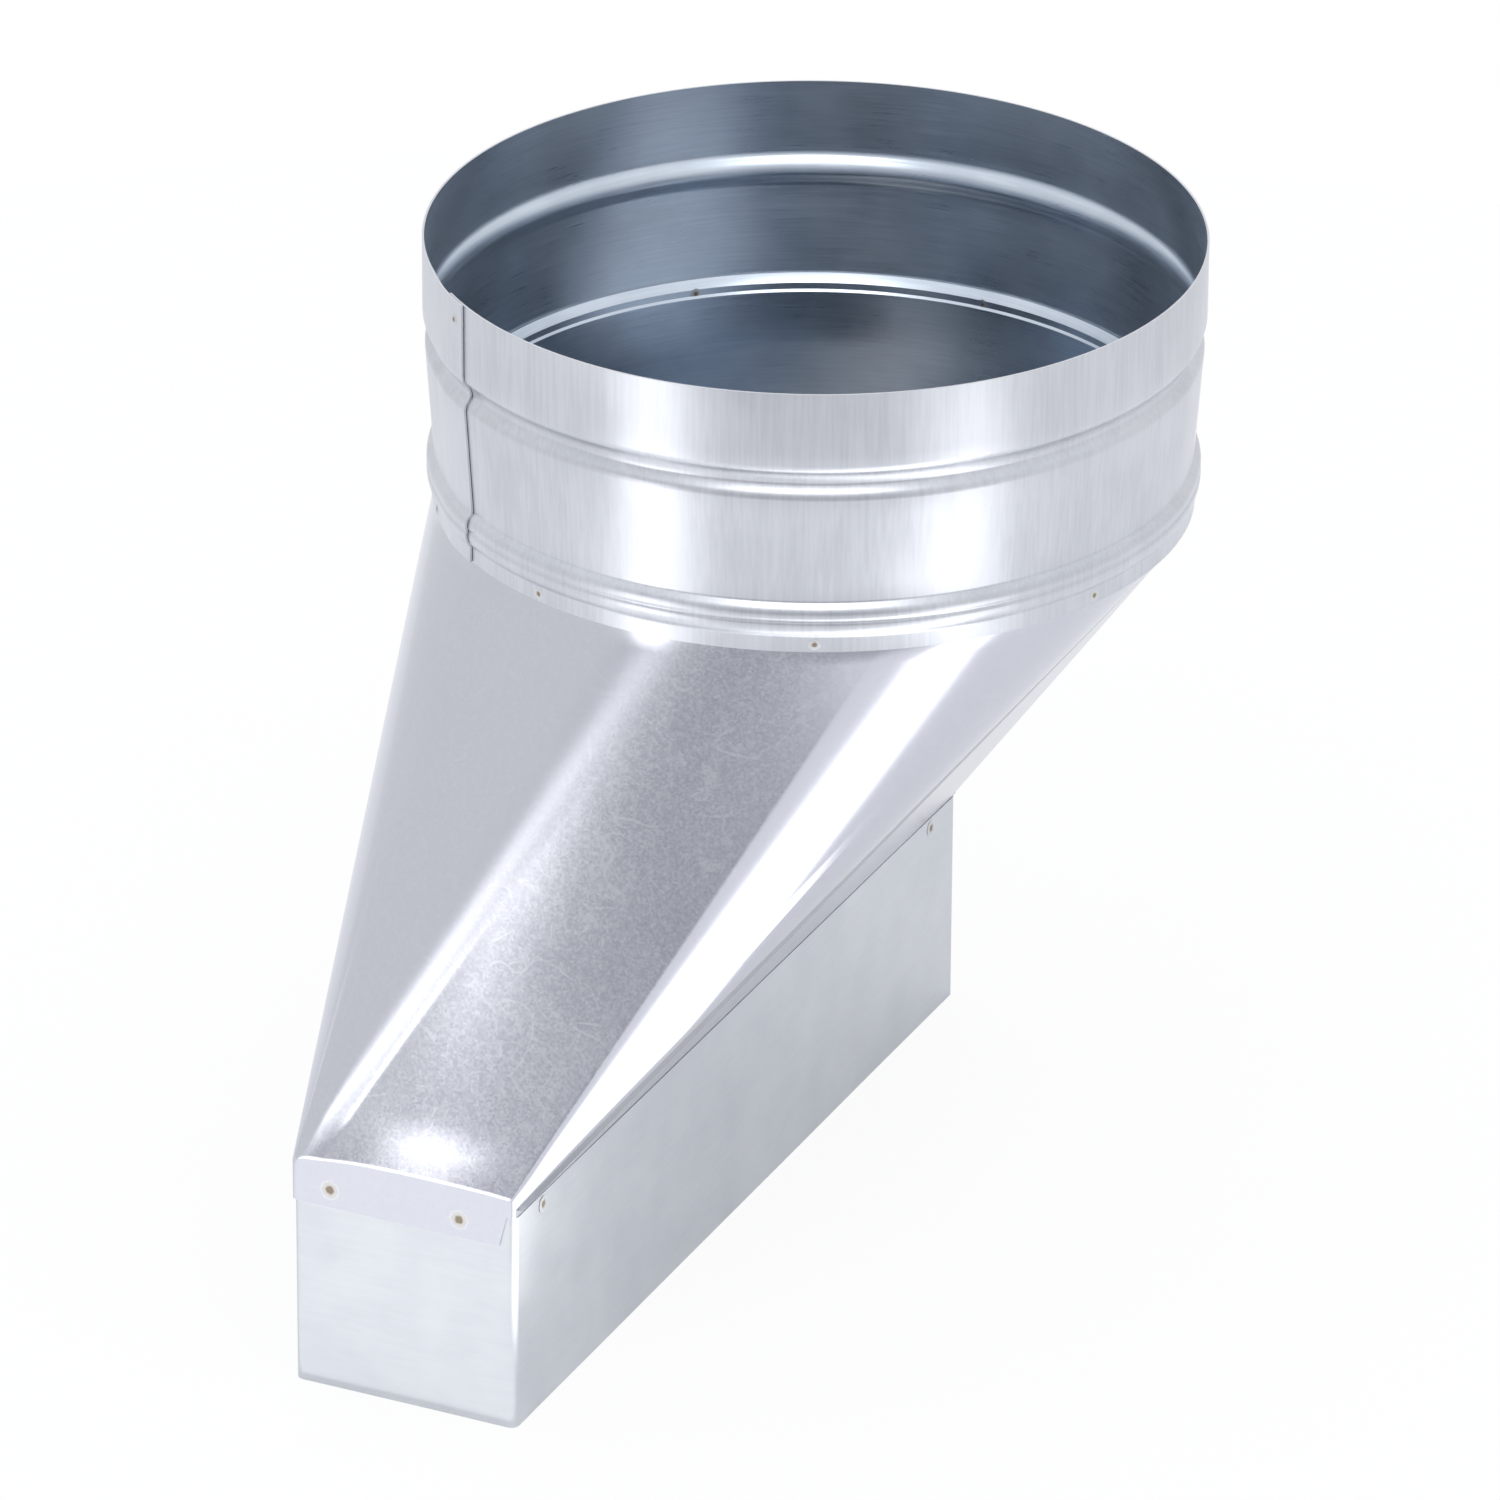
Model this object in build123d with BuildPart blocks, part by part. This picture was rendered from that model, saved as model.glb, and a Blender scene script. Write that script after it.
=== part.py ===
from build123d import *
import os

# A flat-to-round duct adapter in galvanised sheet: a rectangular sleeve, an offset
# transition body and a beaded round collar, spot-welded together.
# Millimetres, z up. The origin is the middle of the sleeve's open mouth: x runs along the
# sleeve's long side, y across it, and the collar leans out over the sleeve's -y side.

# Sheet and fits
sheet = 0.7
lap_gap = 0.15
lap_width = 10.0

# Rectangular sleeve
sleeve_length = 355.6
sleeve_width = 82.6
sleeve_height = 79.0
sleeve_corner = 3.0
sleeve_seam_inset = 24.0

# Transition body
flange_depth = 10.5
bend_rise = 3.5
front_corner = 1.6
bend_ease = 1.1
mitre_run = 2.6
corner_relief = 4.5
neck_radius = 127.0
neck_height = 277.0
flat_tip_angle = 1.5
end_panel_near = 6.0
end_panel_far = 35.0
spigot_height = 11.5
lip_rise = 2.4
lip_flare = 1.2

# Round collar
collar_shift = -66.0
crease_radius = 127.2
wall_top_radius = 129.9
mouth_radius = 130.6
skirt_rise = 0.3
skirt_height = 5.5
lock_bead_height = 12.0
lock_bead_depth = 2.3
stop_bead_rise = 43.5
stop_bead_height = 9.6
stop_bead_depth = 2.4
collar_height = 93.0
collar_seam_angle = 143.0
collar_lap_angle = 5.0

# Spot-weld marks
mark_radius = 2.6
mark_depth = 0.25
end_mark_spacing = 48.0
end_mark_shift = 3.0
side_mark_inset = 21.5
mark_below_sleeve_top = 4.0
seam_mark_heights = (38.0, 54.0, 86.0)
skirt_mark_radius = 1.8
skirt_mark_angles = (44, 90, 126, 160, 205, 251, 311, 357)

# Places that several pieces share
flange_step = sheet + lap_gap
rear_corner = sleeve_corner + sheet / 2
bend_height = sleeve_height + bend_rise
flange_bottom = sleeve_height - flange_depth
collar_bottom = neck_height + skirt_rise
skirt_radius = neck_radius + lap_gap + sheet
crease_height = collar_bottom + skirt_height + lock_bead_height
collar_top = collar_bottom + collar_height
collar_axis = Axis((0, collar_shift, 0), (0, 0, 1))


def folded_rectangle(length, width, shift, front_radius, back_radius):
    """Edges of a folded rectangle from its +x side round, with a faint break where each bend starts."""
    x = length / 2
    front = shift - width / 2
    back = shift + width / 2
    Line((x, front + front_radius), (x, back - back_radius))
    RadiusArc((x, back - back_radius), (x - back_radius, back), -bend_ease * back_radius)
    Line((x - back_radius, back), (-x + back_radius, back))
    RadiusArc((-x + back_radius, back), (-x, back - back_radius), -bend_ease * back_radius)
    Line((-x, back - back_radius), (-x, front + front_radius))
    RadiusArc((-x, front + front_radius), (-x + front_radius, front), -bend_ease * front_radius)
    Line((-x + front_radius, front), (x - front_radius, front))
    RadiusArc((x - front_radius, front), (x, front + front_radius), -bend_ease * front_radius)


def body_sections(inset):
    """The two ends of one skin of the body: the bend line over the sleeve, and the neck. The neck is
    cut where the four panels reach it and where the corners fan out, one arc to each edge below. The
    two end panels lean round with the collar, so each meets the neck past its middle."""
    with BuildLine(Plane.XY.offset(bend_height)) as bend_line:
        folded_rectangle(
            sleeve_length + 2 * (flange_step - inset),
            sleeve_width - 2 * inset,
            flange_step,
            front_corner - inset,
            rear_corner - inset,
        )
    neck_centre = (0, collar_shift, neck_height)
    neck_cuts = [
        -end_panel_far,
        -end_panel_near,
        90 - flat_tip_angle,
        90 + flat_tip_angle,
        180 + end_panel_near,
        180 + end_panel_far,
        270 - flat_tip_angle,
        270 + flat_tip_angle,
        360 - end_panel_far,
    ]
    neck_arcs = []
    for start, stop in zip(neck_cuts, neck_cuts[1:]):
        neck_arcs.append(CenterArc(neck_centre, neck_radius - inset, start, stop - start))
    return [make_face(bend_line.line), make_face(neck_arcs)]


# Rectangular sleeve: one strip folded at four corners, lapped inside its back wall
with BuildPart() as sleeve:
    with BuildSketch():
        RectangleRounded(sleeve_length, sleeve_width, sleeve_corner)
        offset(amount=-sheet, mode=Mode.SUBTRACT)
    extrude(amount=sleeve_height)
    with BuildSketch():
        with Locations((sleeve_length / 2 - sleeve_seam_inset, sleeve_width / 2 - sheet)):
            Rectangle(lap_width, 2 * sheet)
    extrude(amount=sleeve_height)

    # Weld marks where the front wall holds the body's inner flange
    front_face = (0, -sleeve_width / 2, sleeve_height - mark_below_sleeve_top)
    with BuildSketch(Plane(origin=front_face, z_dir=(0, -1, 0))):
        with GridLocations(sleeve_length - 2 * side_mark_inset, 1, 2, 1):
            Circle(mark_radius)
    extrude(amount=-mark_depth, mode=Mode.SUBTRACT)
sleeve.part.label = "sleeve"


# Transition body: four flat faces and four oblique cone corners between the sleeve and the neck
outer_sections = body_sections(0)
inner_sections = body_sections(sheet)
with BuildPart() as transition_body:
    loft(sections=outer_sections, ruled=True)
    loft(sections=inner_sections, ruled=True, mode=Mode.SUBTRACT)

    # Flange below the bend: outside the sleeve on three sides, tucked inside its front wall
    with BuildSketch(Plane.XY.offset(bend_height)):
        with BuildLine():
            folded_rectangle(
                sleeve_length + 2 * flange_step, sleeve_width, flange_step, front_corner, rear_corner
            )
        make_face()
        with BuildLine():
            folded_rectangle(
                sleeve_length + 2 * lap_gap,
                sleeve_width - 2 * sheet,
                flange_step,
                front_corner - sheet,
                rear_corner - sheet,
            )
        make_face(mode=Mode.SUBTRACT)
    extrude(amount=flange_bottom - bend_height)

    # Notches that free the front corners, so that the end flanges pass outside the sleeve
    relief_front = -sleeve_width / 2 - sleeve_corner
    relief_back = -sleeve_width / 2 + sleeve_corner
    with BuildSketch(Plane.YZ.offset(sleeve_length / 2 - corner_relief)):
        with BuildLine():
            Polyline(
                (relief_front, flange_bottom),
                (relief_back + mitre_run, flange_bottom),
                (relief_back, sleeve_height + lap_gap),
                (relief_front, sleeve_height + lap_gap),
                close=True,
            )
        make_face()
    cut_notch = extrude(amount=corner_relief + 2 * flange_step, mode=Mode.PRIVATE)
    add(cut_notch, mode=Mode.SUBTRACT)
    add(cut_notch.mirror(Plane.YZ), mode=Mode.SUBTRACT)

    # Weld marks on the three flanges that show
    mark_height = sleeve_height - mark_below_sleeve_top
    for end in (-1, 1):
        end_face = (end * (sleeve_length / 2 + flange_step), end_mark_shift, mark_height)
        with BuildSketch(Plane(origin=end_face, x_dir=(0, 1, 0), z_dir=(end, 0, 0))):
            with GridLocations(end_mark_spacing, 1, 2, 1):
                Circle(mark_radius)
        extrude(amount=-mark_depth, mode=Mode.SUBTRACT)
    with BuildSketch(Plane(origin=(0, sleeve_width / 2 + flange_step, mark_height), z_dir=(0, 1, 0))):
        with GridLocations(sleeve_length - 2 * side_mark_inset, 1, 2, 1):
            Circle(mark_radius)
    extrude(amount=-mark_depth, mode=Mode.SUBTRACT)

    # Spigot above the neck, turned out at its top behind the collar's lock bead
    spigot_top = neck_height + spigot_height
    with BuildSketch(Plane.XZ.offset(-collar_shift)):
        with BuildLine():
            FilletPolyline(
                (neck_radius, neck_height),
                (neck_radius, spigot_top),
                (neck_radius + lip_flare, spigot_top + lip_rise),
                radius=sheet,
            )
            offset(amount=sheet, side=Side.LEFT)
        make_face()
    revolve(axis=collar_axis)

    # Lap seam down the middle of the back, from the neck to the bend
    seam_foot = Vector(0, sleeve_width / 2 + lap_gap, bend_height)
    seam_head = Vector(0, collar_shift + neck_radius - sheet, neck_height)
    seam_run = seam_head - seam_foot
    seam_plane = Plane(origin=seam_foot, x_dir=seam_run, z_dir=seam_run.cross(Vector(-1, 0, 0)))
    with BuildSketch(seam_plane.offset(-sheet)):
        with Locations((seam_run.length / 2, 0)):
            Rectangle(seam_run.length - 2 * lap_width, lap_width)
    extrude(amount=2 * sheet)
transition_body.part.label = "transition_body"


def collar_tangent(angle, radius, height):
    """A plane that touches the collar from outside, at a height above the collar's lower edge."""
    outward = Vector(1, 0, 0).rotate(Axis.Z, angle)
    return Plane(origin=Vector(0, collar_shift, collar_bottom + height) + outward * radius, z_dir=outward)


def wall_radius(height):
    """Outer radius of the collar's wall, at a height above its lower edge, clear of the beads."""
    crease = skirt_height + lock_bead_height
    bead_foot = crease + stop_bead_rise - stop_bead_height / 2
    if height > bead_foot:
        return mouth_radius
    return crease_radius + (height - crease) / (bead_foot - crease) * (wall_top_radius - crease_radius)


# Round collar: a lapped strip with a stop bead pressed in and a lock bead pressed out
with BuildPart() as round_collar:
    bead_middle = crease_height + stop_bead_rise
    groove_radius = wall_top_radius - stop_bead_depth
    groove_floor = stop_bead_height / 3
    collar_points = [
        (mouth_radius, collar_top),
        (mouth_radius, bead_middle + stop_bead_height / 2),
        (groove_radius, bead_middle + groove_floor / 2),
        (groove_radius, bead_middle - groove_floor / 2),
        (wall_top_radius, bead_middle - stop_bead_height / 2),
        (crease_radius, crease_height),
        (crease_radius + lock_bead_depth, crease_height - lock_bead_depth),
        (crease_radius + lock_bead_depth, crease_height - lock_bead_height + lock_bead_depth),
        (skirt_radius, crease_height - lock_bead_height),
        (skirt_radius, collar_bottom),
    ]
    collar_bends = [1.6, 1.6, 1.6, 1.6, 0.5, 1.6, 1.6, 0.5]
    with BuildSketch(Plane.XZ.offset(-collar_shift)):
        with BuildLine():
            FilletPolyline(*collar_points, radius=collar_bends)
            offset(amount=sheet, side=Side.RIGHT)
        make_face()
    revolve(axis=collar_axis)

    # The strip's outer end laps over its inner end and stands one sheet proud down the seam
    seam_side = Plane(
        origin=(0, collar_shift, 0),
        x_dir=Vector(1, 0, 0).rotate(Axis.Z, collar_seam_angle),
        z_dir=Vector(0, -1, 0).rotate(Axis.Z, collar_seam_angle),
    )
    lap_points = [(radius + sheet, height) for radius, height in collar_points]
    with BuildSketch(seam_side):
        with BuildLine():
            FilletPolyline(*lap_points, radius=collar_bends)
            offset(amount=1.5 * sheet, side=Side.RIGHT)
        make_face()
    revolve(axis=collar_axis, revolution_arc=-collar_lap_angle)

    # Weld marks down the seam and round the skirt
    for height in seam_mark_heights:
        lap_middle = collar_seam_angle - collar_lap_angle / 2
        with BuildSketch(collar_tangent(lap_middle, wall_radius(height) + sheet, height)):
            Circle(mark_radius)
        extrude(amount=-mark_depth, mode=Mode.SUBTRACT)
    for angle in skirt_mark_angles:
        with BuildSketch(collar_tangent(angle, skirt_radius, skirt_height / 2)):
            Circle(skirt_mark_radius)
        extrude(amount=-mark_depth, mode=Mode.SUBTRACT)
round_collar.part.label = "round_collar"


os.makedirs("parts", exist_ok=True)
export_step(sleeve.part, "parts/sleeve.step")
export_step(transition_body.part, "parts/transition_body.step")
export_step(round_collar.part, "parts/round_collar.step")
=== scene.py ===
import math

import bmesh
import bpy
from mathutils import Matrix, Quaternion, Vector, noise


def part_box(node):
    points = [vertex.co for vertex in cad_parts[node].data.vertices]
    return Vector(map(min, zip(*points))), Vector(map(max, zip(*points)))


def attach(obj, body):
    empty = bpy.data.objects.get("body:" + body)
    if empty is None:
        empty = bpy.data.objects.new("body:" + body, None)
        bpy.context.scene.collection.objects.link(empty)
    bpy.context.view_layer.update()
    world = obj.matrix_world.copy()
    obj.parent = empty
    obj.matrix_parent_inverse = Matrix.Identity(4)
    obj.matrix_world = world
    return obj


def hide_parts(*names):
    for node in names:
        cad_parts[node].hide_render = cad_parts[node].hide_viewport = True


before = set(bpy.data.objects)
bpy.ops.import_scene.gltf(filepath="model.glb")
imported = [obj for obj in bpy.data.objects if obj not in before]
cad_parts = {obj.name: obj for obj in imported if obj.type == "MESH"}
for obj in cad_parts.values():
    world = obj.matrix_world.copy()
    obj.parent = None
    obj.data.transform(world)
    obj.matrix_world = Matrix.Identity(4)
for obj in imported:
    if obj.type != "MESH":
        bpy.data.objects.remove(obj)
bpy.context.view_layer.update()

# A flat-to-round duct adapter in galvanised sheet: a lapped round collar with a stop bead and a
# lock bead, an offset transition body, and a folded rectangular sleeve, joined by spot welds.
# Metres, z up, in the part's own frame.
MM = 0.001

# Sheet and fits
sheet = 0.7 * MM
lap_gap = 0.15 * MM
inner_slot = 1
edge_slot = 2
sharp_fold = math.radians(38)
sharp_body_fold = math.radians(30)

# Sleeve, from its solid
sleeve_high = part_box("sleeve")[1]
sleeve_half_length = sleeve_high.x
sleeve_half_width = sleeve_high.y
sleeve_height = sleeve_high.z
sleeve_corner = 3.0 * MM
sleeve_corner_cuts = 6
sleeve_columns = 18
sleeve_rows = 10
foot_lift = 0.01 * MM

# The sleeve's walls sink in a very slight wave, which fades out towards its bends
wave_depth = 0.16 * MM
wave_ease = 25.0 * MM
wave_scale = 14
wall_facing = 0.9

# Sides of the two rectangles that are longer than this are divided into columns
sleeve_side = 20.0 * MM
long_side = 200.0 * MM
end_side = 50.0 * MM

# Transition body, from its solid
body_low, body_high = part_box("transition_body")
body_half_length = body_high.x
flange_bottom = body_low.z
flange_step = body_half_length - sleeve_half_length
front = -sleeve_half_width
back = sleeve_half_width + flange_step
front_corner = 1.6 * MM
rear_corner = sleeve_corner + sheet / 2
corner_bend_cuts = 40
side_columns = 64
end_columns = 56
body_rows = 36
first_row_share = 0.28

# The bend over the sleeve, the flange below it, and the notch at the front corners
bend_height = sleeve_height + 3.5 * MM
bend_fold = 1.2 * MM
least_fold = 0.05 * MM
bend_arch = 4.3 * MM
bend_arch_middle = -8.0 * MM
bend_arch_reach = 52.0 * MM
front_bend_height = sleeve_height + 0.62 * MM
front_bend_ease = 5.0 * MM
front_fold = sleeve_height + 0.5 * MM
tuck_height = sleeve_height - 0.8 * MM
flange_inset = 0.12 * MM
notch_run = 4.5 * MM
notch_height = sleeve_height + lap_gap
mitre_run = 2.6 * MM
mitre_ease = 14.0 * MM

# How near a point has to lie to count as part of the front, the tucked front or the ends
front_reach = 0.2 * MM
tuck_reach = 0.3 * MM
end_reach = 0.5 * MM

# Neck and spigot
neck_radius = 127.0 * MM
neck_height = 277.0 * MM
spigot_waist = 124.3 * MM
spigot_step_height = 294.6 * MM
spigot_waist_height = 297.7 * MM
spigot_top_radius = 126.6 * MM
spigot_top_height = 300.2 * MM
spigot_rows = (
    (neck_height + 6 * MM, neck_radius - 1.0 * MM),
    (spigot_step_height - 1.0 * MM, spigot_waist - 0.5 * MM),
    (spigot_step_height, spigot_waist - 0.6 * MM),
    (spigot_step_height + 0.8 * MM, spigot_waist),
    (spigot_waist_height, spigot_waist),
    (spigot_waist_height + 0.6 * MM, spigot_waist + 0.4 * MM),
    (spigot_top_height, spigot_top_radius),
)

# Where the straight lines up the body reach the neck, turned from the back: the rear corner's fan,
# the crease that stands a little inside that corner, and the start of the front corner's fan
crease_inset = 6.1 * MM
rear_fan = math.radians(79)
crease_turn = math.radians(96)
front_fan = math.radians(125)

# The ridge pressed out along that crease and the hollow in the panel beside it, at the two ends
# only. Both grow from the bend up: their starts are shares of the way to the neck.
crease_from_middle = 100.0 * MM
crease_rise = 1.3 * MM
crease_start = 0.05
crease_outer_reach = 38.0 * MM
crease_outer_round = 0.06
crease_inner_reach = 44.0 * MM
crease_inner_round = 0.02
panel_hollow = 1.2 * MM
panel_width = 72.0 * MM
hollow_start = 0.10

# How much of the mottled grain shows, on the cones and on the end panels
cone_grain = 0.15
panel_facing = 0.84
panel_facing_run = 0.1
grain_edge = 20.0 * MM
grain_above_bend = 0.2 * MM

# Round collar, from its solid
collar_low, collar_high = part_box("round_collar")
collar_bottom = collar_low.z
collar_top = collar_high.z
collar_centre = Vector((0, (collar_low.y + collar_high.y) / 2, 0))
mouth_radius = (collar_high.y - collar_low.y) / 2
wall_top_radius = 129.9 * MM
crease_radius = 127.2 * MM
skirt_radius = neck_radius + lap_gap + sheet
skirt_height = 5.5 * MM
lock_bead_height = 12.0 * MM
lock_bead_depth = 2.3 * MM
lock_groove_depth = 0.5 * MM
lock_groove_width = 1.8 * MM
stop_bead_rise = 43.5 * MM
stop_bead_height = 9.6 * MM
stop_bead_depth = 2.4 * MM
collar_seam_angle = math.radians(143)
collar_lap = math.radians(5)
joggle_run = math.radians(9)
collar_steps = 240
collar_wall_side = 12.0 * MM
collar_wall_cuts = 5
collar_bend_cuts = 5
collar_bend = 1.6 * MM
collar_soft_bend = 2.4 * MM
collar_fold = 0.5 * MM

# Spot-weld marks
mark_height = sleeve_height - 4.0 * MM
end_mark_places = (-21.0 * MM, 27.0 * MM)
side_mark_places = (-156.3 * MM, 156.3 * MM)
seam_mark_heights = (315.3 * MM, 331.3 * MM, 363.3 * MM)
ring_mark_angles = (44, 90, 126, 160, 205, 251, 311, 357)
skirt_mark_height = 280.0 * MM
spigot_mark_height = 296.5 * MM
end_mark_radius = 3.7 * MM
side_mark_radius = 3.0 * MM
seam_mark_radius = 1.9 * MM
mark_lift = 0.01 * MM
mark_merge = 0.001 * MM
mark_steps = 32
mark_lobes = 8
mark_lobe_depth = 0.05
# From the middle out: the share of the radius, and the height in millimetres
mark_profile = (
    (0.0, 0.10),
    (0.16, 0.09),
    (0.26, 0.02),
    (0.40, 0.04),
    (0.50, 0.11),
    (0.60, 0.05),
    (0.80, 0.03),
    (0.92, 0.06),
    (1.0, 0.01),
)

# Studio: the table, and the room that the metal reflects
white = (1, 1, 1, 1)
table_radius = 0.95
table_sides = 96
table_centre = (-0.02, -0.04, -0.05 * MM)
table_white = (0.93, 0.93, 0.94, 1)
table_seen_white = 0.9
table_mirrored_white = 0.2
studio_wall = (0.86, 0.87, 0.89, 1)
studio_ceiling = (1.0, 1.02, 1.06, 1)
studio_ceiling_run = (0.1, 0.9)
dull_side = (math.cos(math.radians(202)), math.sin(math.radians(202)), -0.12)
studio_shade = (0.50, 0.51, 0.55, 1)
gap_side = (-0.9303, 0.3023, 0.2079)
studio_gap = (0.62, 0.63, 0.67, 1)
glow_side = (-0.9146, 0.3882, -0.1132)
studio_glow = (3.7, 3.7, 3.75, 1)
# Round patches of the room: direction, cosines of the outer and the inner edge, and tone
studio_patches = (
    (dull_side, 0.72, 0.97, studio_shade),
    (gap_side, 0.9563, 0.9903, studio_gap),
    (glow_side, 0.9914, 0.9990, studio_glow),
)
# Lamps: place, bearing and tilt in degrees, width, height and radiance
softboxes = {
    "low_softbox": ((-1.486, 0.656, 0.06), -26.5, 2, 0.20, 0.12, 0.35),
    "high_softbox": ((-1.55, -0.72, 2.30), 25, -52, 1.80, 0.90, 2.6),
    "left_card": ((-0.72, 0.20, 0.01), 156, 89.9, 0.22, 0.50, 1.6),
    "foot_card": ((-0.2975, 0.055, 0.0015), 180, 89.9, 0.26, 0.236, 0.27),
    "right_card": ((-0.228, -0.538, 0.01), 258.3, 89.9, 0.22, 0.91, 1.15),
    "back_card": ((0.72, 0.12, 0.01), 20, 89.9, 0.24, 0.50, 1.0),
}

# Camera
camera_target = Vector((-47.0, -65.1, 200.0)) * MM
camera_distance = 4016 * MM
camera_bearing = math.radians(24.96)
camera_fall = math.radians(25.99)
camera_roll = math.radians(0.38)
camera_lens = 288
camera_sensor = 36
camera_reach = 100


class Wire:
    """A shader socket that carries a number, with the arithmetic that finishes are written in."""

    def __init__(self, shader, socket):
        self.shader = shader
        self.socket = socket

    def _math(self, operation, *values):
        inputs = dict(enumerate(values))
        return self.shader.node("ShaderNodeMath", {"operation": operation}, inputs)

    def __add__(self, other):
        return self._math("ADD", self, other)

    def __radd__(self, other):
        return self._math("ADD", other, self)

    def __sub__(self, other):
        return self._math("SUBTRACT", self, other)

    def __rsub__(self, other):
        return self._math("SUBTRACT", other, self)

    def __mul__(self, other):
        return self._math("MULTIPLY", self, other)

    def __rmul__(self, other):
        return self._math("MULTIPLY", other, self)

    def between(self, low, high):
        """0 below low, 1 above high, and a soft step from one to the other."""
        settings = {"interpolation_type": "SMOOTHSTEP"}
        return self.shader.node("ShaderNodeMapRange", settings, {0: self, 1: low, 2: high})

    def least(self, other):
        return self._math("MINIMUM", self, other)

    def most(self, other):
        return self._math("MAXIMUM", self, other)

    def away(self, middle):
        """How far the number is from a middle value, either way."""
        return self._math("ABSOLUTE", self - middle)


class Shader:
    """A node tree that is being written, for a material or for the world."""

    def __init__(self, owner):
        owner.use_nodes = True
        self.owner = owner
        self.tree = owner.node_tree
        self.tree.nodes.clear()

    def node(self, kind, settings=None, inputs=None, output=0):
        """Adds one node: its settings first, then the values or wires of its sockets."""
        made = self.tree.nodes.new(kind)
        for name, value in (settings or {}).items():
            setattr(made, name, value)
        for key, value in (inputs or {}).items():
            if isinstance(value, Wire):
                self.tree.links.new(value.socket, made.inputs[key])
            else:
                made.inputs[key].default_value = value
        return Wire(self, made.outputs[output])

    def place(self):
        """The point on the object, in metres."""
        return self.node("ShaderNodeTexCoord", output="Object")

    def stretched(self, stretch, turn=(0, 0, 0)):
        """The point on the object, scaled by axis and turned, for grain that runs one way."""
        inputs = {"Vector": self.place(), "Rotation": turn, "Scale": stretch}
        return self.node("ShaderNodeMapping", {"vector_type": "TEXTURE"}, inputs)

    def cloud(self, size, detail, place=None):
        """Soft noise whose blotches are about size across."""
        inputs = {"Vector": place or self.place(), "Scale": 1 / size, "Detail": detail}
        return self.node("ShaderNodeTexNoise", {"noise_dimensions": "3D"}, inputs)

    def crystals(self, size):
        """A flat random grey for each zinc crystal about size across."""
        inputs = {"Vector": self.place(), "Scale": 1 / size}
        cells = self.node("ShaderNodeTexVoronoi", {"feature": "F1"}, inputs, output="Color")
        return self.node("ShaderNodeSeparateColor", None, {"Color": cells})

    def blend(self, share, one, other):
        """A colour between two others."""
        settings = {"data_type": "RGBA"}
        return self.node("ShaderNodeMix", settings, {0: share, 6: one, 7: other}, output=2)

    def bump(self, height, depth):
        """The normal of a relief that is as deep as given."""
        inputs = {"Height": height, "Strength": 1.0, "Distance": depth}
        return self.node("ShaderNodeBump", None, inputs)

    def metal(self, colour, roughness, normal, stretch=0.0, turn=0.0):
        """Closes a finish as bare metal."""
        inputs = {
            "Base Color": colour,
            "Metallic": 1.0,
            "Roughness": roughness,
            "Normal": normal,
            "Anisotropic": stretch,
            "Anisotropic Rotation": turn,
        }
        surface = self.node("ShaderNodeBsdfPrincipled", None, inputs)
        self.node_output("ShaderNodeOutputMaterial", surface)
        return self.owner

    def node_output(self, kind, surface):
        """Ends the tree with its output node."""
        end = self.tree.nodes.new(kind)
        self.tree.links.new(surface.socket, end.inputs["Surface"])


def new_finish(name):
    """An empty material, ready to be written."""
    return Shader(bpy.data.materials.new(name))


def rolled_zinc(name, light=(0.665, 0.68, 0.715, 1), dark=(0.565, 0.58, 0.615, 1)):
    """Collar: fine streaks up the wall over a cloudy coat."""
    finish = new_finish(name)
    streaks = finish.cloud(1.2 * MM, 2.0, finish.stretched((1, 1, 22)))
    broad = finish.cloud(9 * MM, 3.0, finish.stretched((1, 1, 5)))
    clouds = finish.cloud(35 * MM, 4.0)
    grain = finish.cloud(0.6 * MM, 1.0)
    tone = 0.35 * streaks + 0.25 * broad + 0.4 * clouds
    colour = finish.blend(tone.between(0.34, 0.66), dark, light)
    roughness = 0.23 + 0.12 * streaks + 0.08 * clouds
    relief = finish.bump(0.6 * streaks + 0.4 * grain, 0.012 * MM)
    return finish.metal(colour, roughness, relief, 0.35, 0.25)


def hairlines(finish, size, thickness, stretch, turn):
    """Short curly hairlines, about size apart: contours of a soft noise, broken up by another."""
    field = finish.cloud(size, 1.0, finish.stretched(stretch, (0.3, 0.5 * turn, turn)))
    line = 1 - field.away(0.5).between(thickness, 3 * thickness)
    return line * finish.cloud(0.8 * size, 2.0).between(0.48, 0.60)


def hair_layers(finish, layers, thickness):
    """Hairlines laid over each other, each layer with its size in millimetres, stretch and turn."""
    strongest = None
    for size, stretch, turn in layers:
        layer = hairlines(finish, size * MM, thickness, (1, stretch, 1), turn)
        strongest = layer if strongest is None else strongest.most(layer)
    return strongest


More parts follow.
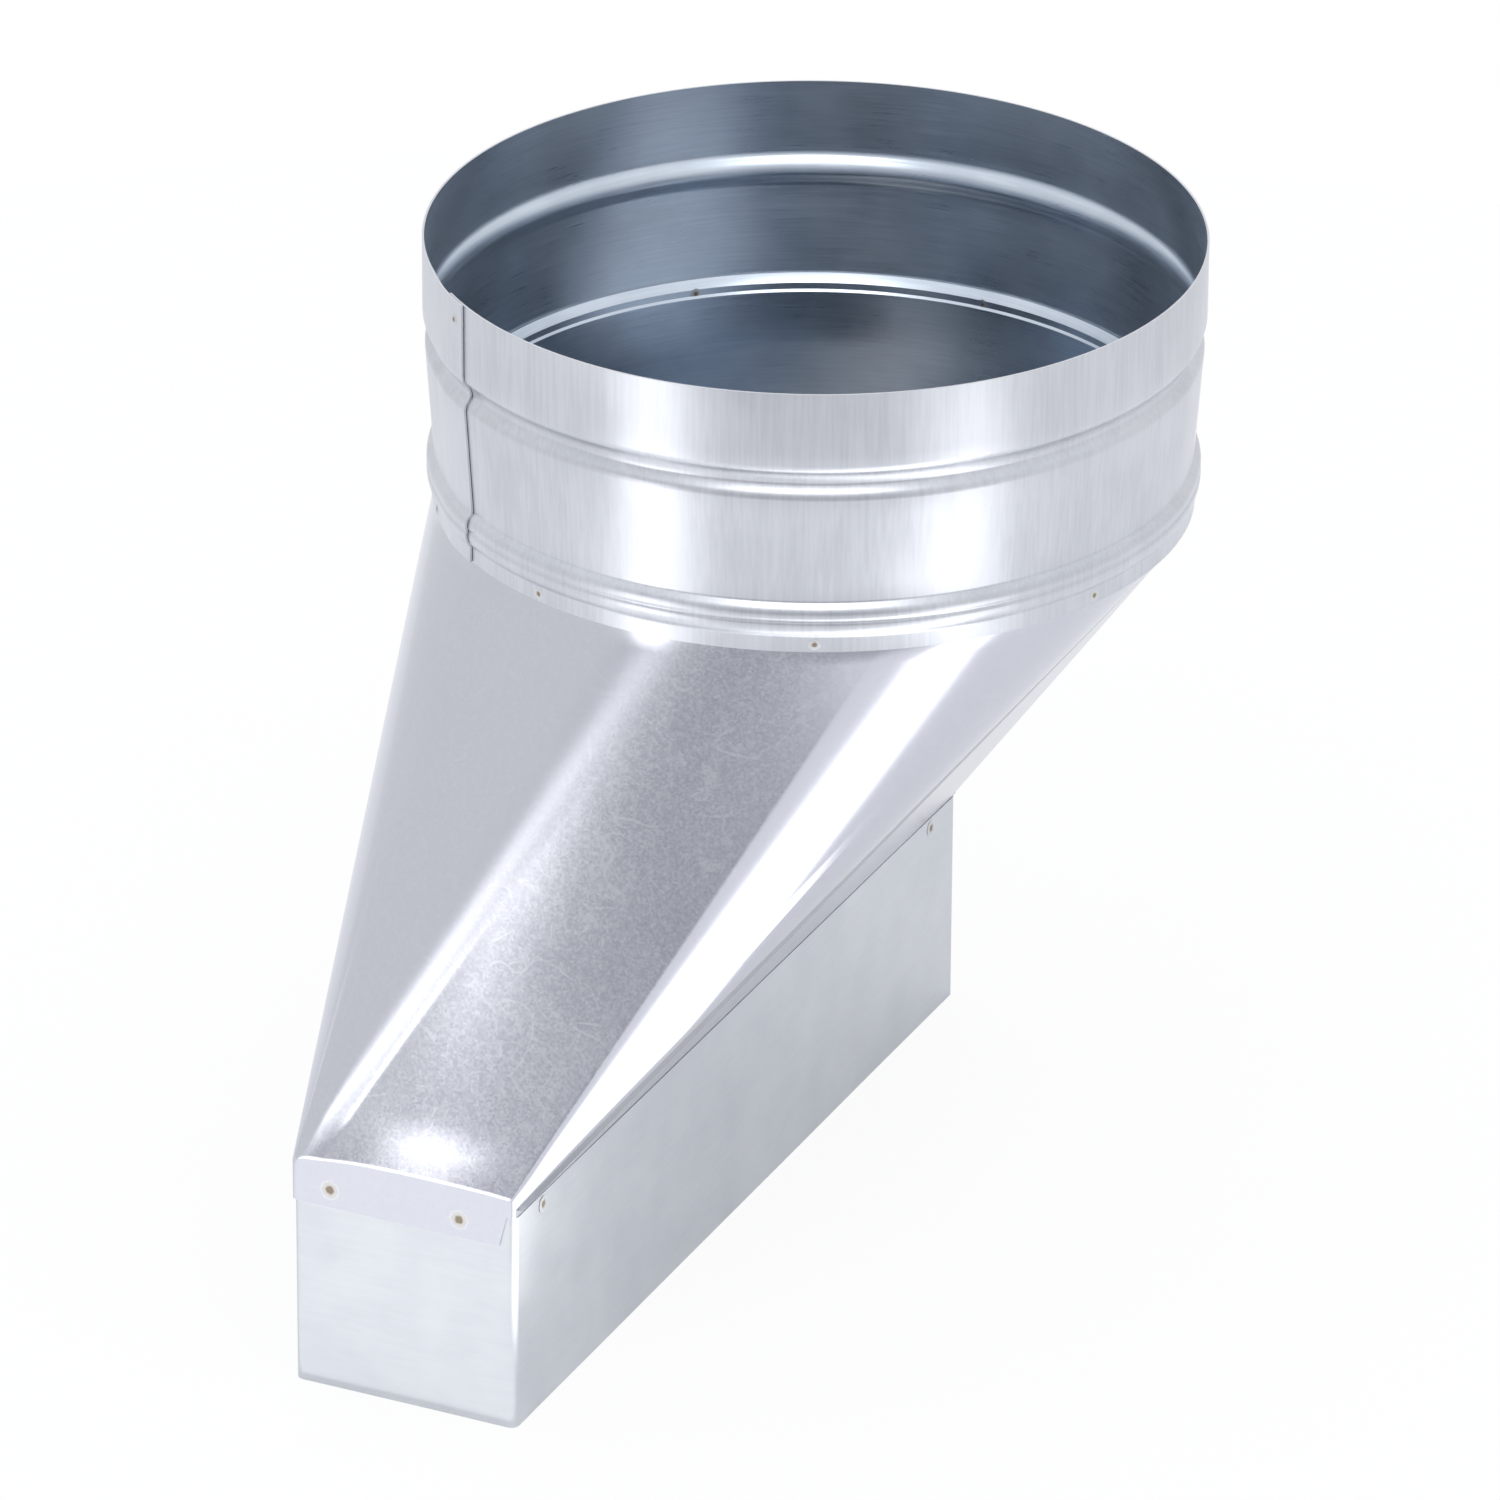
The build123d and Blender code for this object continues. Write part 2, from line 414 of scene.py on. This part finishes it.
def mottled_zinc(name, light=(0.70, 0.71, 0.755, 1), dark=(0.52, 0.53, 0.585, 1)):
    """Transition body: fine fibres, mottle and hairlines on the end panels, smooth on the cones."""
    finish = new_finish(name)
    grain = finish.node("ShaderNodeAttribute", {"attribute_name": "grain"}, output="Fac")
    fine = finish.crystals(0.9 * MM)
    clouds = finish.cloud(30 * MM, 3.0)
    speckle = finish.cloud(0.5 * MM, 1.0)
    streaks = finish.cloud(3 * MM, 2.0, finish.stretched((1, 1, 24)))
    mottle = 0.22 * fine + 0.34 * speckle + 0.26 * clouds + 0.18 * streaks
    fibres = hair_layers(finish, ((3.1, 1.8, 0.2), (4.0, 1.8, 1.1), (3.5, 1.8, 2.0)), 0.02)
    hairs = hair_layers(finish, ((14, 2.2, 0.5), (19, 2.6, 1.4), (24, 2.6, 2.6)), 0.004)
    marks = (0.26 * fibres).most(0.5 * hairs)
    tone = 0.44 + (0.62 * (mottle.between(0.32, 0.68) - 0.5) + marks) * grain
    colour = finish.blend(tone.least(1.0), dark, light)
    roughness = 0.15 + 0.10 * mottle * grain + 0.03 * clouds
    relief = finish.bump((0.2 * fine + 0.3 * speckle + 0.4 * fibres) * grain, 0.004 * MM)
    return finish.metal(colour, roughness, relief)


def smooth_zinc(name, light=(0.69, 0.71, 0.735, 1), dark=(0.58, 0.60, 0.63, 1)):
    """Sleeve: a dull even coat with soft blotches and faint drag marks."""
    finish = new_finish(name)
    drag = finish.cloud(1.6 * MM, 2.0, finish.stretched((12, 12, 1)))
    clouds = finish.cloud(18 * MM, 5.0)
    broad = finish.cloud(60 * MM, 3.0)
    grain = finish.cloud(0.7 * MM, 1.0)
    tone = 0.2 * drag + 0.4 * clouds + 0.4 * broad
    colour = finish.blend(tone.between(0.22, 0.78), dark, light)
    roughness = 0.25 + 0.10 * clouds + 0.04 * drag
    relief = finish.bump(0.5 * drag + 0.5 * grain, 0.01 * MM)
    return finish.metal(colour, roughness, relief)


def inner_zinc(name, light=(0.655, 0.715, 0.79, 1), dark=(0.55, 0.605, 0.68, 1)):
    """Inside of the sheet: darker, with fine scratches round the duct."""
    finish = new_finish(name)
    lines = finish.cloud(0.7 * MM, 2.0, finish.stretched((30, 30, 1)))
    clouds = finish.cloud(30 * MM, 3.0)
    tone = 0.4 * lines + 0.6 * clouds
    colour = finish.blend(tone.between(0.35, 0.65), dark, light)
    roughness = 0.20 + 0.12 * lines + 0.08 * clouds
    relief = finish.bump(lines, 0.01 * MM)
    return finish.metal(colour, roughness, relief, 0.35, 0.25)


def cut_edge(name, light=(0.82, 0.82, 0.83, 1), dark=(0.60, 0.62, 0.66, 1)):
    """Sheared edges: brighter and rougher than the coat."""
    finish = new_finish(name)
    shear = finish.cloud(0.8 * MM, 2.0)
    colour = finish.blend(shear, dark, light)
    return finish.metal(colour, 0.3 + 0.2 * shear, finish.bump(shear, 0.02 * MM))


def weld_scale(name):
    """Spot welds: a pale pressed ring round a brown heat-tinted middle."""
    brown = (0.30, 0.25, 0.19, 1)
    warm = (0.64, 0.62, 0.60, 1)
    pale = (0.70, 0.72, 0.755, 1)
    finish = new_finish(name)
    reach = finish.node("ShaderNodeAttribute", {"attribute_name": "reach"}, output="Fac")
    scale = finish.cloud(0.9 * MM, 3.0)
    edge = reach + 0.35 * (scale - 0.5)
    tint = finish.blend(edge.between(0.30, 0.52), brown, warm)
    colour = finish.blend(edge.between(0.62, 0.95), tint, pale)
    return finish.metal(colour, 0.36 + 0.2 * scale, finish.bump(scale, 0.05 * MM))


def as_piece(bm, name, finishes):
    """Makes the finished bmesh an object in the scene."""
    mesh = bpy.data.meshes.new(name)
    bm.to_mesh(mesh)
    bm.free()
    for finish in finishes:
        mesh.materials.append(finish)
    piece = bpy.data.objects.new(name, mesh)
    bpy.context.scene.collection.objects.link(piece)
    return piece


def give_wall(piece):
    """Gives an outer skin its sheet thickness, inwards, with its own finish inside and on edges."""
    wall = piece.modifiers.new("wall", "SOLIDIFY")
    wall.thickness = sheet
    wall.offset = -1
    wall.use_even_offset = True
    wall.use_rim = True
    wall.material_offset = inner_slot
    wall.material_offset_rim = edge_slot


def finish_mesh(piece, sharp_angle=sharp_fold):
    """Applies the modifiers, then shades the mesh smooth up to its folds."""
    graph = bpy.context.evaluated_depsgraph_get()
    piece.data = bpy.data.meshes.new_from_object(piece.evaluated_get(graph))
    piece.modifiers.clear()
    piece.data.shade_smooth()
    piece.data.set_sharp_from_angle(angle=sharp_angle)
    return piece


def chain(bm, points):
    """Vertices along a line of points, joined by edges."""
    line = [bm.verts.new(point) for point in points]
    for one, other in zip(line, line[1:]):
        bm.edges.new((one, other))
    return line


def round_bend(bm, vertex, radius, cuts):
    """Rounds one corner of a line of edges into an arc."""
    bmesh.ops.bevel(
        bm,
        geom=[vertex],
        offset=radius,
        offset_type="OFFSET",
        segments=cuts,
        profile=0.5,
        affect="VERTICES",
        material=-1,
    )


def rounded_rectangle(half_length, low_y, high_y, front_radius, rear_radius, height, cuts):
    """A closed loop of edges round a folded rectangle, and no face."""
    bm = bmesh.new()
    bmesh.ops.create_grid(bm, x_segments=1, y_segments=1, size=1)
    for vertex in bm.verts:
        side = high_y if vertex.co.y > 0 else low_y
        vertex.co = Vector((math.copysign(half_length, vertex.co.x), side, height))
    corners = list(bm.verts)
    middle = (low_y + high_y) / 2
    for vertex in corners:
        round_bend(bm, vertex, rear_radius if vertex.co.y > middle else front_radius, cuts)
    bmesh.ops.delete(bm, geom=list(bm.faces), context="FACES_ONLY")
    return bm


def divide_long_edges(bm, shortest, cuts):
    """Divides the straight sides of a loop, and leaves its bends as they are."""
    sides = [edge for edge in bm.edges if edge.calc_length() > shortest]
    bmesh.ops.subdivide_edges(bm, edges=sides, cuts=cuts)


def raise_loop(bm, edges, step=(0, 0, 0)):
    """Extrudes a loop of edges by a step, and gives the new loop's vertices and edges."""
    made = bmesh.ops.extrude_edge_only(bm, edges=edges)["geom"]
    loop = [part for part in made if isinstance(part, bmesh.types.BMVert)]
    new = set(loop)
    rims = [e for e in made if isinstance(e, bmesh.types.BMEdge) and new.issuperset(e.verts)]
    bmesh.ops.translate(bm, verts=loop, vec=step)
    return loop, rims


def face_outwards(bm, centre):
    """Turns the open shell's faces away from the middle of the duct."""
    bmesh.ops.recalc_face_normals(bm, faces=list(bm.faces))
    face = max(bm.faces, key=lambda f: f.calc_area())
    middle = face.calc_center_median()
    outward = middle - Vector((centre.x, centre.y, middle.z))
    if face.normal.dot(outward) < 0:
        bmesh.ops.reverse_faces(bm, faces=list(bm.faces))


def make_sleeve(finishes):
    """Rectangular sleeve: four folded walls, very slightly oil-canned."""
    bm = rounded_rectangle(
        sleeve_half_length,
        -sleeve_half_width,
        sleeve_half_width,
        sleeve_corner,
        sleeve_corner,
        foot_lift,
        sleeve_corner_cuts,
    )
    divide_long_edges(bm, sleeve_side, sleeve_columns)
    rise = Vector((0, 0, (sleeve_height - foot_lift) / sleeve_rows))
    edges = list(bm.edges)
    for _ in range(sleeve_rows):
        edges = raise_loop(bm, edges, rise)[1]
    face_outwards(bm, Vector((0, 0, 0)))
    bm.normal_update()
    for vertex in bm.verts:
        inset = min(
            sleeve_half_length - abs(vertex.co.x) if abs(vertex.normal.y) > wall_facing else 1,
            sleeve_half_width - abs(vertex.co.y) if abs(vertex.normal.x) > wall_facing else 1,
        )
        if inset < 1:
            ease = min(1, inset / wave_ease)
            wave = noise.noise(vertex.co * wave_scale) - 0.5
            vertex.co += vertex.normal * wave_depth * ease * min(0, wave)
    piece = as_piece(bm, "sleeve_wall", finishes)
    give_wall(piece)
    return finish_mesh(piece)


def facing_from_back(point):
    """How far the folded rectangle has turned away from the back at a point of its edge."""
    if point.y > (front + back) / 2:
        core = Vector((body_half_length - rear_corner, back - rear_corner))
        core.y = min(point.y, core.y)
    else:
        core = Vector((body_half_length - front_corner, front + front_corner))
        core.y = max(point.y, core.y)
    core.x = max(-core.x, min(core.x, point.x))
    return abs(math.atan2(point.x - core.x, point.y - core.y))


def neck_turn(point):
    """Where the straight line from a point of the bend reaches the neck, turned from the back."""
    facing = facing_from_back(point)
    quarter = math.pi / 2
    slack = 0.001
    if facing < quarter - slack:
        return facing / quarter * rear_fan
    if facing > quarter + slack:
        return front_fan + (facing - quarter) / quarter * (math.pi - front_fan)
    along = back - rear_corner - point.y
    if along < crease_inset:
        return rear_fan + along / crease_inset * (crease_turn - rear_fan)
    share = (along - crease_inset) / (back - rear_corner - crease_inset - front - front_corner)
    return crease_turn + share * (front_fan - crease_turn)


def bend_line_height(point):
    """The bend over the sleeve, which arches up over its two ends and runs low along the front."""
    if point.y < front + front_reach:
        from_corner = body_half_length - front_corner - abs(point.x)
        near_end = min(1, max(0, 1 - from_corner / front_bend_ease))
        return front_bend_height + (bend_height - front_bend_height) * near_end ** 2
    if body_half_length - abs(point.x) > end_reach:
        return bend_height
    return bend_height + end_arch(point)


def end_arch(point):
    """How far the bend arches up at a point of the sleeve's ends."""
    across = (point.y - bend_arch_middle) / bend_arch_reach
    return bend_arch * max(0, 1 - across ** 4)


def climb(point):
    """How far a point has risen from the bend to the neck, as a share."""
    return (point.z - bend_height) / (neck_height - bend_height)


def past_crease(point):
    """How far towards the back a point lies from the line inside its rear corner."""
    foot_y = back - rear_corner - crease_inset
    head_y = collar_centre.y + neck_radius * math.cos(crease_turn)
    return point.y - foot_y - climb(point) * (head_y - foot_y)


def tighten_bend(bm):
    """Draws the first row above the bend down close to it, so that the fold stays narrow."""
    feet = {vertex for edge in bm.edges if edge.is_boundary for vertex in edge.verts}
    feet = {vertex for vertex in feet if vertex.co.z < neck_height - MM}
    for foot in feet:
        for edge in foot.link_edges:
            above = edge.other_vert(foot)
            if above not in feet:
                above.co = foot.co.lerp(above.co, first_row_share)


def soft_step(share):
    """From 0 to 1 with a soft start and a soft end."""
    return share * share * (3 - 2 * share)


def press_crease(bm):
    """Presses out the ridge that runs from inside each rear corner up to the neck, sharp at its
    foot, with a straight flank towards the corner and the slightly hollow end panel beside it."""
    bm.normal_update()
    moves = []
    for vertex in bm.verts:
        share = climb(vertex.co)
        if not 0 < share < 1 or abs(vertex.co.x) < crease_from_middle:
            continue
        off = past_crease(vertex.co)
        above = vertex.co.z - bend_height - end_arch(vertex.co)
        above = max(0, above) / (neck_height - bend_height)
        if off > 0:
            reach = crease_inset + share * (crease_outer_reach - crease_inset)
            rise = crease_rise * max(0, 1 - math.hypot(off / reach, crease_outer_round))
            hollow = 0
        else:
            near = max(0, 1 - math.hypot(off / crease_inner_reach, crease_inner_round))
            rise = crease_rise * near ** 2
            hollow = panel_hollow * math.sin(math.pi * min(1, -off / panel_width))
        press = rise * min(1, above / crease_start)
        press -= hollow * soft_step(min(1, above / hollow_start))
        moves.append((vertex, vertex.normal * press * (1 - share) ** 2))
    for vertex, move in moves:
        vertex.co += move
        vertex.co.x = max(-body_half_length, min(body_half_length, vertex.co.x))


def lower_flange(bm):
    """Folds the flange down over the sleeve on three sides, and in behind its front wall."""
    edges = [e for e in bm.edges if e.is_boundary and e.verts[0].co.z < neck_height - MM]
    tucked = front + sheet + lap_gap
    half_length = body_half_length - flange_inset
    for height, is_tucked in (
        (None, False),
        (front_fold, False),
        (notch_height, True),
        (tuck_height, True),
        (flange_bottom, True),
    ):
        row, edges = raise_loop(bm, edges)
        for vertex in row:
            vertex.co.z = height or max(vertex.co.z - bend_fold, front_fold + least_fold)
            vertex.co.x = max(-half_length, min(half_length, vertex.co.x))
            vertex.co.y = min(back - flange_inset, vertex.co.y)
            if is_tucked and vertex.co.y < front + tuck_reach:
                vertex.co.y = tucked


def notch_corners(bm):
    """Frees the front corners, so that the end flanges pass outside the sleeve, and mitres them."""
    gone = []
    for face in bm.faces:
        middle = face.calc_center_median()
        at_front = middle.y < front + sleeve_corner
        at_end = abs(middle.x) > sleeve_half_length - notch_run
        if middle.z < front_fold and at_front and at_end:
            gone.append(face)
    bmesh.ops.delete(bm, geom=gone, context="FACES")
    ends = [v for v in bm.verts if v.co.z < notch_height and abs(v.co.x) > sleeve_half_length]
    first = min(vertex.co.y for vertex in ends)
    for vertex in ends:
        share = (notch_height - vertex.co.z) / (notch_height - flange_bottom)
        vertex.co.y += share * mitre_run * max(0, 1 - (vertex.co.y - first) / mitre_ease)
    bm.normal_update()


def mark_panels(bm):
    """Writes how much of the mottled grain each point shows: all on the end panels, else little."""
    grain = bm.verts.layers.float.new("grain")
    bm.normal_update()
    for vertex in bm.verts:
        square = min(1, max(0, (abs(vertex.normal.x) - panel_facing) / panel_facing_run))
        inside = min(1, max(0, 0.5 - past_crease(vertex.co) / grain_edge))
        lowest = bend_line_height(vertex.co) + grain_above_bend
        above_bend = 1 if vertex.co.z > lowest else 0
        vertex[grain] = cone_grain + (1 - cone_grain) * square * inside * above_bend


def make_body(finishes):
    """Transition body: straight lines run up from the folded rectangle to the neck, so that flat
    panels and oblique cones meet along the corners, with a flange below and a spigot above."""
    bm = rounded_rectangle(
        body_half_length, front, back, front_corner, rear_corner, bend_height, corner_bend_cuts
    )
    divide_long_edges(bm, long_side, side_columns)
    divide_long_edges(bm, end_side, end_columns)
    for vertex in bm.verts:
        vertex.co.z = bend_line_height(vertex.co)
    row = raise_loop(bm, list(bm.edges))[0]
    for vertex in row:
        turn = neck_turn(vertex.co)
        side = math.copysign(1, vertex.co.x)
        vertex.co.x = side * neck_radius * math.sin(turn)
        vertex.co.y = collar_centre.y + neck_radius * math.cos(turn)
        vertex.co.z = neck_height
    tall = (neck_height - bend_height) / 2
    risers = [e for e in bm.edges if abs(e.verts[0].co.z - e.verts[1].co.z) > tall]
    bmesh.ops.subdivide_edges(bm, edges=risers, cuts=body_rows, use_grid_fill=True)
    tighten_bend(bm)
    press_crease(bm)
    neck_edges = [e for e in bm.edges if e.is_boundary and e.verts[0].co.z > neck_height - MM]
    lower_flange(bm)
    for height, radius in spigot_rows:
        row, neck_edges = raise_loop(bm, neck_edges)
        for vertex in row:
            out = (vertex.co - collar_centre).to_2d().normalized() * radius
            vertex.co = Vector((out.x, out.y + collar_centre.y, height))
    notch_corners(bm)
    face_outwards(bm, Vector((0, collar_centre.y / 2, 0)))
    mark_panels(bm)
    piece = as_piece(bm, "transition_shell", finishes)
    give_wall(piece)
    return finish_mesh(piece, sharp_body_fold)


def collar_profile():
    """Corner points of the collar's wall from its rim down, as radius, height and bend radius."""
    crease_height = collar_bottom + skirt_height + lock_bead_height
    bead_middle = crease_height + stop_bead_rise
    groove_radius = wall_top_radius - stop_bead_depth
    groove_floor = stop_bead_height / 3
    lock_radius = crease_radius + lock_bead_depth
    lock_middle = crease_height - lock_bead_height / 2
    return [
        (mouth_radius, collar_top, 0),
        (mouth_radius, bead_middle + stop_bead_height / 2, collar_bend),
        (groove_radius, bead_middle + groove_floor / 2, collar_soft_bend),
        (groove_radius, bead_middle - groove_floor / 2, collar_soft_bend),
        (wall_top_radius, bead_middle - stop_bead_height / 2, collar_bend),
        (crease_radius, crease_height, collar_fold),
        (lock_radius, crease_height - lock_bead_depth, collar_bend),
        (lock_radius, lock_middle + lock_groove_width / 2, collar_fold),
        (lock_radius - lock_groove_depth, lock_middle, collar_fold),
        (lock_radius, lock_middle - lock_groove_width / 2, collar_fold),
        (lock_radius, crease_height - lock_bead_height + lock_bead_depth, collar_bend),
        (skirt_radius, crease_height - lock_bead_height, collar_fold),
        (skirt_radius, collar_bottom, 0),
    ]


def make_collar(finishes):
    """Round collar: a beaded strip that goes once round and laps over its own start."""
    start = collar_seam_angle - collar_lap
    step = (2 * math.pi + collar_lap) / collar_steps
    bm = bmesh.new()
    profile = collar_profile()
    line = chain(bm, [Vector((radius, 0, height)) for radius, height, _ in profile])
    for vertex, (_, _, bend) in zip(line, profile):
        if bend:
            round_bend(bm, vertex, bend, collar_bend_cuts)
    wall = [edge for edge in bm.edges if edge.calc_length() > collar_wall_side]
    bmesh.ops.subdivide_edges(bm, edges=wall, cuts=collar_wall_cuts)
    to_start = Matrix.Rotation(start, 3, "Z")
    bmesh.ops.rotate(bm, verts=list(bm.verts), cent=(0, 0, 0), matrix=to_start)
    edges = list(bm.edges)
    turn = Matrix.Rotation(step, 3, "Z")
    proud = sheet + lap_gap
    for index in range(1, collar_steps + 1):
        ring, edges = raise_loop(bm, edges)
        bmesh.ops.rotate(bm, verts=ring, cent=(0, 0, 0), matrix=turn)
        left = (collar_steps - index) * step - collar_lap
        lift = 1 - min(1, max(0, left / joggle_run))
        before = 1 - min(1, max(0, (left + step) / joggle_run))
        rise = proud * (soft_step(lift) - soft_step(before))
        for vertex in ring:
            flat = Vector((vertex.co.x, vertex.co.y, 0))
            vertex.co += flat.normalized() * rise
    bmesh.ops.translate(bm, verts=list(bm.verts), vec=collar_centre)
    face_outwards(bm, collar_centre)
    piece = as_piece(bm, "collar_wall", finishes)
    give_wall(piece)
    return finish_mesh(piece)


def add_weld_mark(bm, layer, radius, place, outward):
    """A pressed ring with a nub in its middle, set on the sheet and facing outward."""
    line = [bm.verts.new((share * radius, 0, height * MM)) for share, height in mark_profile]
    edges = [bm.edges.new(pair) for pair in zip(line, line[1:])]
    bmesh.ops.spin(
        bm,
        geom=line + edges,
        cent=(0, 0, 0),
        axis=(0, 0, 1),
        angle=2 * math.pi,
        steps=mark_steps,
        use_merge=True,
    )
    rings = list({vertex for face in bm.faces if not face.tag for vertex in face.verts})
    for vertex in rings:
        reach = math.hypot(vertex.co.x, vertex.co.y) / radius
        vertex[layer] = reach
        around = math.atan2(vertex.co.y, vertex.co.x)
        lobes = 1 + mark_lobe_depth * reach * math.cos(mark_lobes * around)
        vertex.co.x *= lobes
        vertex.co.y *= lobes
    turn = outward.to_track_quat("Z", "Y").to_matrix().to_4x4()
    bmesh.ops.transform(bm, matrix=Matrix.Translation(place) @ turn, verts=rings)
    for face in bm.faces:
        face.tag = True


def make_weld_marks(name, finish, marks):
    """Marks as one piece, from their radii, places and outward directions."""
    bm = bmesh.new()
    layer = bm.verts.layers.float.new("reach")
    for radius, place, outward in marks:
        add_weld_mark(bm, layer, radius, place + outward * mark_lift, outward)
    bmesh.ops.remove_doubles(bm, verts=list(bm.verts), dist=mark_merge)
    bmesh.ops.recalc_face_normals(bm, faces=list(bm.faces))
    piece = as_piece(bm, name, [finish])
    piece.data.shade_smooth()
    return piece


def on_ring(angle, radius, height):
    """A place on the collar's round, and its outward direction."""
    turn = math.radians(angle)
    out = Vector((math.cos(turn), math.sin(turn), 0))
    return collar_centre + out * radius + Vector((0, 0, height)), out


def flange_marks():
    """Marks on the body: its two end flanges, its back flange, and inside the spigot's top."""
    marks = []
    for side in (-1, 1):
        for along in end_mark_places:
            place = Vector((side * (body_half_length - flange_inset), along, mark_height))
            marks.append((end_mark_radius, place, Vector((side, 0, 0))))
    for along in side_mark_places:
        place = Vector((along, back - flange_inset, mark_height))
        marks.append((end_mark_radius, place, Vector((0, 1, 0))))
    for angle in ring_mark_angles:
        place, out = on_ring(angle, spigot_waist - sheet, spigot_mark_height)
        marks.append((seam_mark_radius, place, -out))
    return marks


def sleeve_marks():
    """Marks on the sleeve's front wall, where the tucked flange is held."""
    outward = Vector((0, -1, 0))
    places = [Vector((along, front, mark_height)) for along in side_mark_places]
    return [(side_mark_radius, place, outward) for place in places]


def collar_marks():
    """Marks down the collar's lap and round its skirt."""
    marks = []
    lap_middle = math.degrees(collar_seam_angle - collar_lap / 2)
    crease_height = collar_bottom + skirt_height + lock_bead_height
    for height in seam_mark_heights:
        share = (height - crease_height) / stop_bead_rise
        wall = crease_radius + share * (wall_top_radius - crease_radius)
        radius = (mouth_radius if share > 1 else wall) + sheet + lap_gap
        marks.append((seam_mark_radius, *on_ring(lap_middle, radius, height)))
    for angle in ring_mark_angles:
        marks.append((seam_mark_radius, *on_ring(angle, skirt_radius, skirt_mark_height)))
    return marks


def heading(bearing, tilt):
    """The direction towards a bearing, tilted up or down from the level."""
    level = math.cos(tilt)
    return Vector((math.cos(bearing) * level, math.sin(bearing) * level, math.sin(tilt)))


def softbox(name, place, bearing, tilt, width, height, brightness):
    """A soft lamp that shines towards a bearing, tilted up or down, with the given radiance."""
    ahead = heading(math.radians(bearing), math.radians(tilt))
    lamp = bpy.data.lights.new(name, "AREA")
    lamp.shape = "RECTANGLE"
    lamp.size = width
    lamp.size_y = height
    lamp.energy = brightness * width * height * math.pi
    holder = bpy.data.objects.new(name, lamp)
    holder.location = place
    holder.rotation_mode = "QUATERNION"
    holder.rotation_quaternion = ahead.to_track_quat("-Z", "Y")
    bpy.context.scene.collection.objects.link(holder)
    holder.visible_camera = False


def make_world():
    """A pale studio with dull patches for the end panel and a bright one for its ridge, white to
    the camera."""
    world = bpy.data.worlds.new("studio")
    bpy.context.scene.world = world
    shader = Shader(world)
    direction = shader.node("ShaderNodeTexCoord", output="Generated")
    height = shader.node("ShaderNodeSeparateXYZ", None, {"Vector": direction}, output="Z")
    room = shader.blend(height.between(*studio_ceiling_run), studio_wall, studio_ceiling)
    for side, edge, core, tone in studio_patches:
        facing = shader.node(
            "ShaderNodeVectorMath",
            {"operation": "DOT_PRODUCT"},
            {0: direction, 1: side},
            output="Value",
        )
        room = shader.blend(facing.between(edge, core), room, tone)
    seen = shader.node("ShaderNodeLightPath", output="Is Camera Ray")
    colour = shader.blend(seen, room, white)
    light = shader.node("ShaderNodeBackground", None, {"Color": colour, "Strength": 1.0})
    shader.node_output("ShaderNodeOutputWorld", light)


def make_floor():
    """A round white table under the sleeve's mouth."""
    bm = bmesh.new()
    bmesh.ops.create_circle(bm, cap_ends=True, segments=table_sides, radius=table_radius)
    bmesh.ops.translate(bm, verts=list(bm.verts), vec=table_centre)
    finish = new_finish("pale_floor")
    lit = finish.node("ShaderNodeBsdfDiffuse", None, {"Color": table_white})
    glow = finish.node("ShaderNodeEmission", None, {"Color": white, "Strength": 1.0})
    camera_ray = finish.node("ShaderNodeLightPath", output="Is Camera Ray")
    glossy_ray = finish.node("ShaderNodeLightPath", output="Is Glossy Ray")
    share = (camera_ray * table_seen_white).most(glossy_ray * table_mirrored_white)
    mixed = finish.node("ShaderNodeMixShader", None, {0: share, 1: lit, 2: glow})
    finish.node_output("ShaderNodeOutputMaterial", mixed)
    floor = as_piece(bm, "studio_floor", [finish.owner])


def make_camera():
    """A long lens above the corner of the sleeve, as in the photograph."""
    forward = heading(camera_bearing, -camera_fall)
    lens = bpy.data.cameras.new("photo_camera")
    lens.lens = camera_lens
    lens.sensor_width = camera_sensor
    lens.clip_end = camera_reach
    camera = bpy.data.objects.new("photo_camera", lens)
    camera.location = camera_target - forward * camera_distance
    camera.rotation_mode = "QUATERNION"
    roll = Quaternion((0, 0, 1), camera_roll)
    camera.rotation_quaternion = forward.to_track_quat("-Z", "Y") @ roll
    bpy.context.scene.collection.objects.link(camera)
    bpy.context.scene.camera = camera


make_camera()
make_world()
make_floor()
for name, settings in softboxes.items():
    softbox(name, *settings)

rolled = rolled_zinc("rolled_zinc")
mottled = mottled_zinc("mottled_zinc")
smooth = smooth_zinc("smooth_zinc")
inner = inner_zinc("inner_zinc")
sheared = cut_edge("cut_edge")
scorched = weld_scale("weld_scale")

pieces = [
    (make_sleeve([smooth, inner, sheared]), "sleeve", "sleeve_sheet"),
    (make_body([mottled, inner, sheared]), "transition_body", "body_sheet"),
    (make_collar([rolled, inner, sheared]), "round_collar", "collar_sheet"),
]
for piece, node, slot in pieces:
    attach(piece, "root")
    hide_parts(node)

for name, marks, slot in (
    ("sleeve_weld_marks", sleeve_marks(), "sleeve_sheet"),
    ("body_weld_marks", flange_marks(), "body_sheet"),
    ("collar_weld_marks", collar_marks(), "collar_sheet"),
):
    piece = make_weld_marks(name, scorched, marks)
    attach(piece, "root")

bpy.context.scene.view_settings.view_transform = "Standard"
